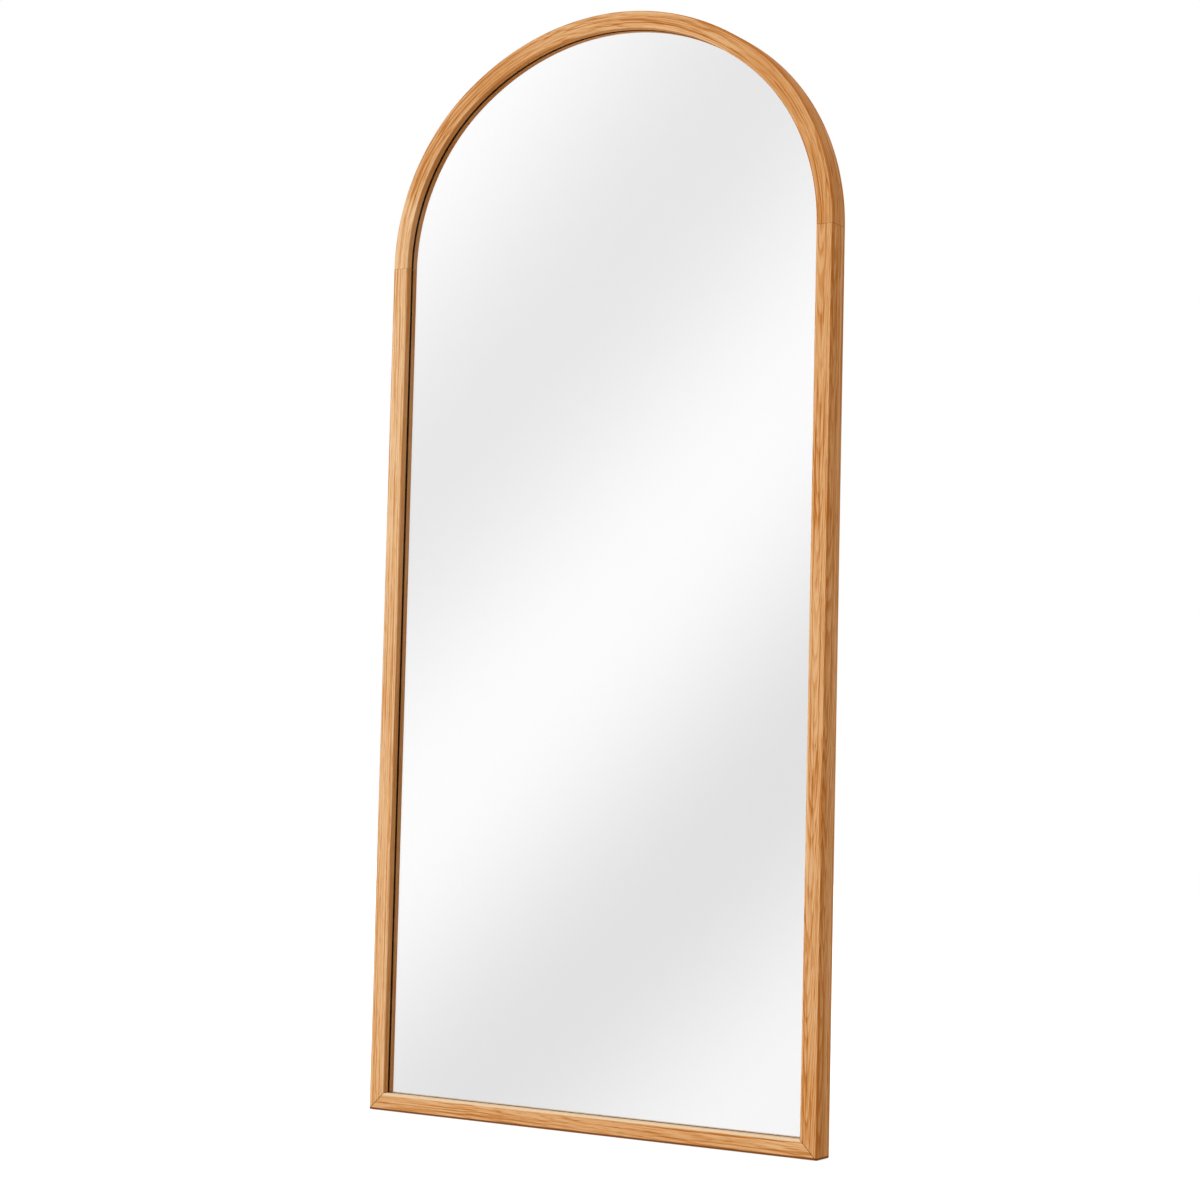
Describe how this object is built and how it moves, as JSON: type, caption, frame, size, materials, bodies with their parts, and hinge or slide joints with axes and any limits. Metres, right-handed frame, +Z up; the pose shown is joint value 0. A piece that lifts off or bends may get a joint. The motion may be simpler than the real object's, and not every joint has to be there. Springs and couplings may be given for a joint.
{
  "type": "arched floor mirror",
  "caption": "Full-length floor mirror with an arched solid oak frame, silvered glass set back in the frame, a screwed backing board and folding hanger rings.",
  "frame": {"origin": "middle of the underside of the centre floor pad, on the floor", "axes": "+Z up along the mirror, +X to the right seen from the front, +Y from the front to the back"},
  "size_m": [0.8, 0.045, 1.7209],
  "materials": {
    "oak": "clear satin lacquer on oak",
    "beech": "fluted beech, unfinished",
    "birch_ply": "birch plywood, unfinished",
    "mirror_glass": "silvered float glass",
    "black_rubber": "matt rubber",
    "white_foam": "closed-cell foam sheet",
    "fibreboard": "raw fibreboard",
    "zinc_steel": "bright zinc plate"
  },
  "bodies": {
    "mirror": {"arch_top": "oak", "left_stile": "oak", "right_stile": "oak", "bottom_rail": "oak", "left_arch_dowels": "beech", "right_arch_dowels": "beech", "left_mitre_spline": "birch_ply", "right_mitre_spline": "birch_ply", "mirror_glass": "mirror_glass", "glass_spacers": "black_rubber", "foam_sheet": "white_foam", "backing_board": "fibreboard", "backing_screws": "zinc_steel", "left_hanger_strap": "zinc_steel", "right_hanger_strap": "zinc_steel", "left_hanger_screws": "zinc_steel", "right_hanger_screws": "zinc_steel", "wall_bumpers": "black_rubber", "floor_pads": "black_rubber"},
    "left_ring": {"left_hanger_ring": "zinc_steel"},
    "right_ring": {"right_hanger_ring": "zinc_steel"}
  },
  "joints": [
    {"name": "left_ring_swing", "type": "hinge", "parent": "mirror", "child": "left_ring", "pos_m": [-0.39225, 0.02205, 1.283], "axis": [1, 0, 0], "range_deg": [0, 180]},
    {"name": "right_ring_swing", "type": "hinge", "parent": "mirror", "child": "right_ring", "pos_m": [0.39225, 0.02205, 1.283], "axis": [1, 0, 0], "range_deg": [0, 180]}
  ]
}
